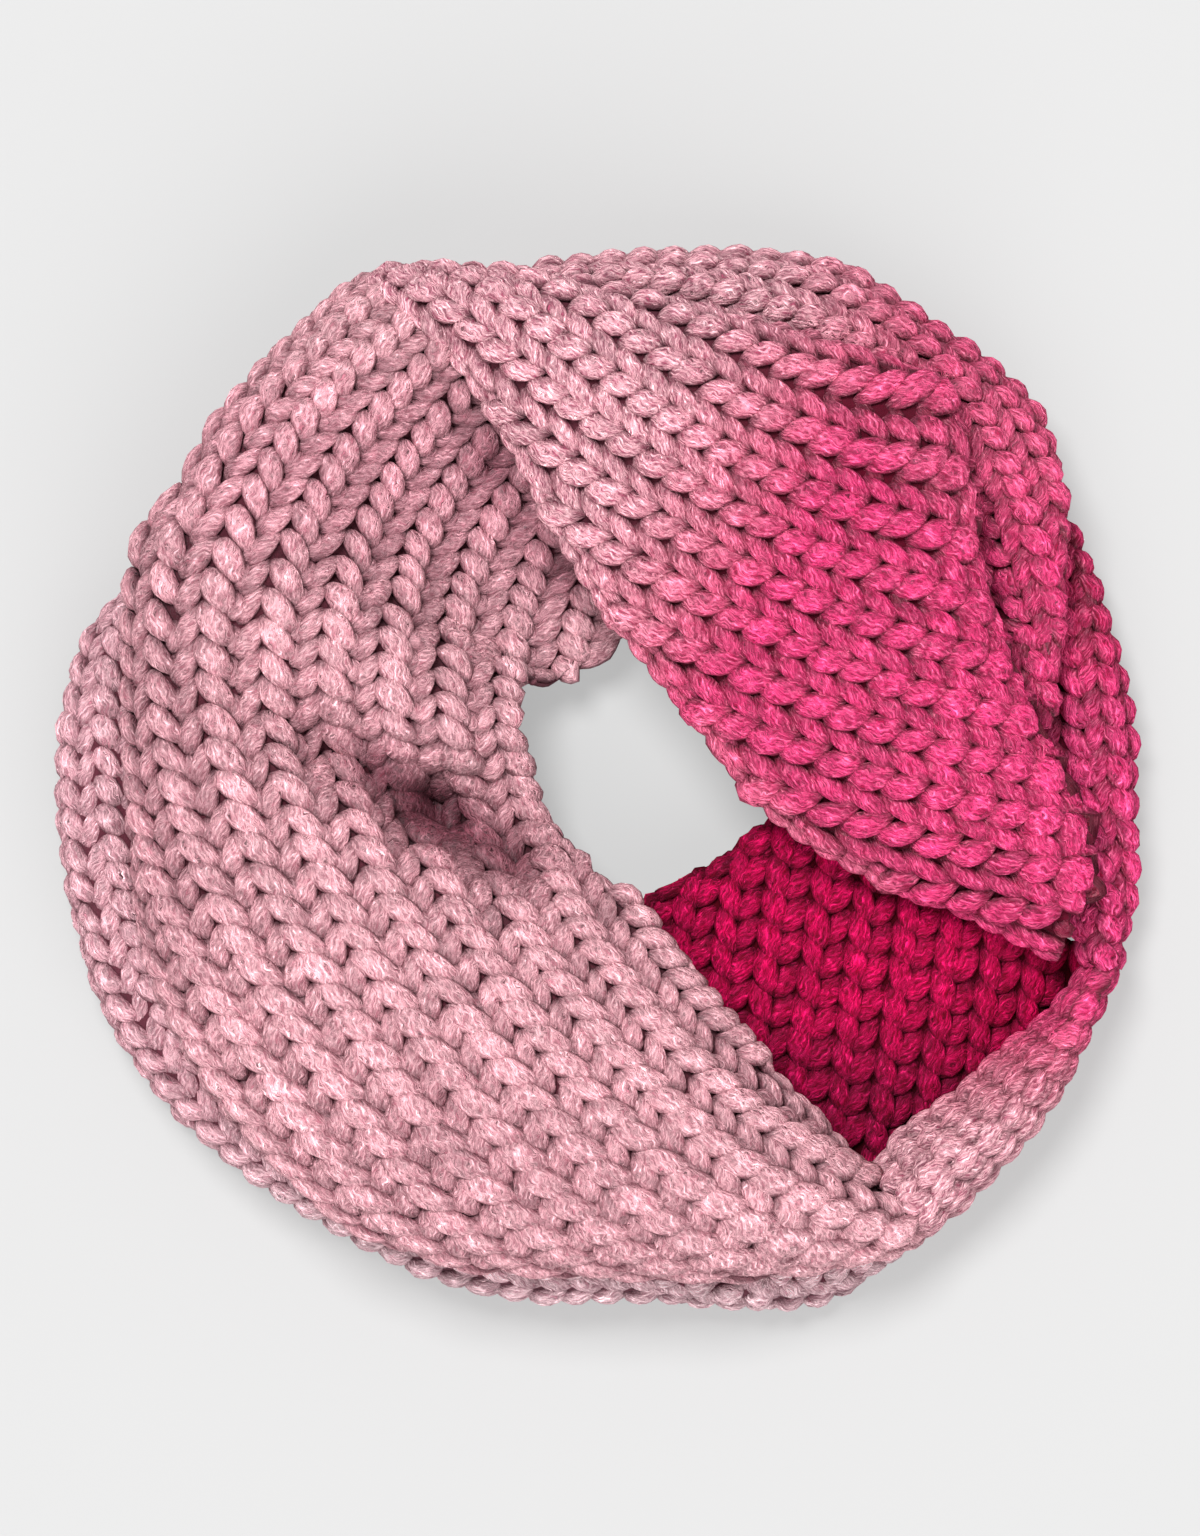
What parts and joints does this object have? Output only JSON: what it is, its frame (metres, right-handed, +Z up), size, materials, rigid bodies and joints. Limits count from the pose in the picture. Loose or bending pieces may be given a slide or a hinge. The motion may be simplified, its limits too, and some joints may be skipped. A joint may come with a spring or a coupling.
{
  "type": "infinity scarf",
  "caption": "Chunky ribbed knit infinity scarf wound into a ring and laid down, one stretch crossing the others, fading from pale pink to deep crimson.",
  "frame": {"origin": "under the middle of the ring, on the surface it lies on", "axes": "+Z up through the hole of the ring, +Y towards the side the crossing stretch starts from, +X to the right seen from above"},
  "size_m": [0.3784, 0.3712, 0.1115],
  "materials": {
    "knit_pale": "soft matte chunky wool-like knit, pale pink",
    "knit_shaded": "soft matte chunky wool-like knit, pale pink inside the ring",
    "knit_dusty": "soft matte chunky wool-like knit, dusty pink",
    "knit_fading": "soft matte chunky wool-like knit, fading from pale to hot pink",
    "knit_rose": "soft matte chunky wool-like knit, pale pink turning rose",
    "knit_hot": "soft matte chunky wool-like knit, hot pink",
    "knit_crimson": "soft matte chunky wool-like knit, deep crimson"
  },
  "bodies": {
    "root": {"lower_wrap": "knit_dusty", "front": "knit_pale", "left_inner": "knit_shaded", "crossing": "knit_fading", "outer_right": "knit_rose", "side_right": "knit_hot", "corner_rim": "knit_rose", "tail": "knit_crimson"}
  },
  "joints": []
}
